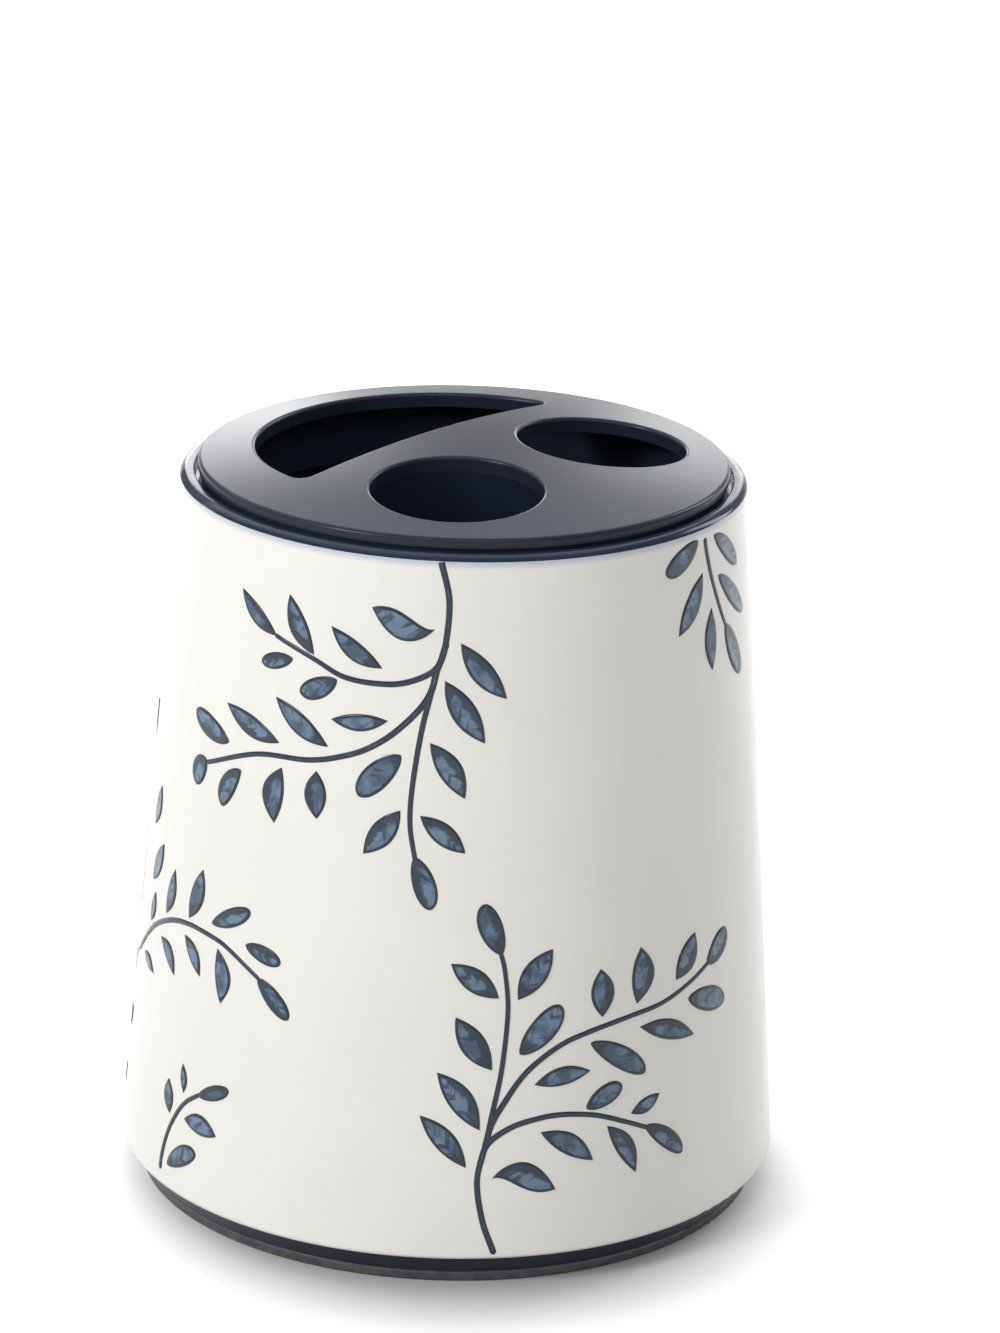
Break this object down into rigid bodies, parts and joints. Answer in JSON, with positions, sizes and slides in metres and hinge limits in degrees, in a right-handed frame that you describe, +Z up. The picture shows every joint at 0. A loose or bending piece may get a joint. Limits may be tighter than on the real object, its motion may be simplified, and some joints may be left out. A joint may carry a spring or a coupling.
{
  "type": "toothbrush holder",
  "caption": "Tapered countertop toothbrush holder: ivory sleeve with leaf sprays, lift-out navy cup, and a domed lift-off lid with round brush holes and a D-shaped tube slot.",
  "frame": {"origin": "on the body's axis, at the centre of the surface that the foot ring stands on", "axes": "+Z up along the body's axis; -Y is the front, where the round brush holes are; the tube slot is on the +Y side"},
  "size_m": [0.1079, 0.108, 0.124],
  "materials": {
    "ivory_gloss": "soft gloss, with painted navy leaf sprays",
    "navy_satin": "satin, fine moulded texture",
    "navy_gloss": "gloss",
    "foot_rubber": "matt"
  },
  "bodies": {
    "holder": {"outer_sleeve": "ivory_gloss", "base_plate": "navy_satin", "foot_ring": "foot_rubber"},
    "cup": {"inner_cup": "navy_gloss"},
    "lid": {"lid": "navy_satin"}
  },
  "joints": [
    {"name": "cup_lift", "type": "slide", "parent": "holder", "child": "cup", "axis": [0, 0, 1], "range_m": [0, 0.12]},
    {"name": "lid_lift", "type": "slide", "parent": "cup", "child": "lid", "axis": [0, 0, 1], "range_m": [0, 0.05]}
  ]
}
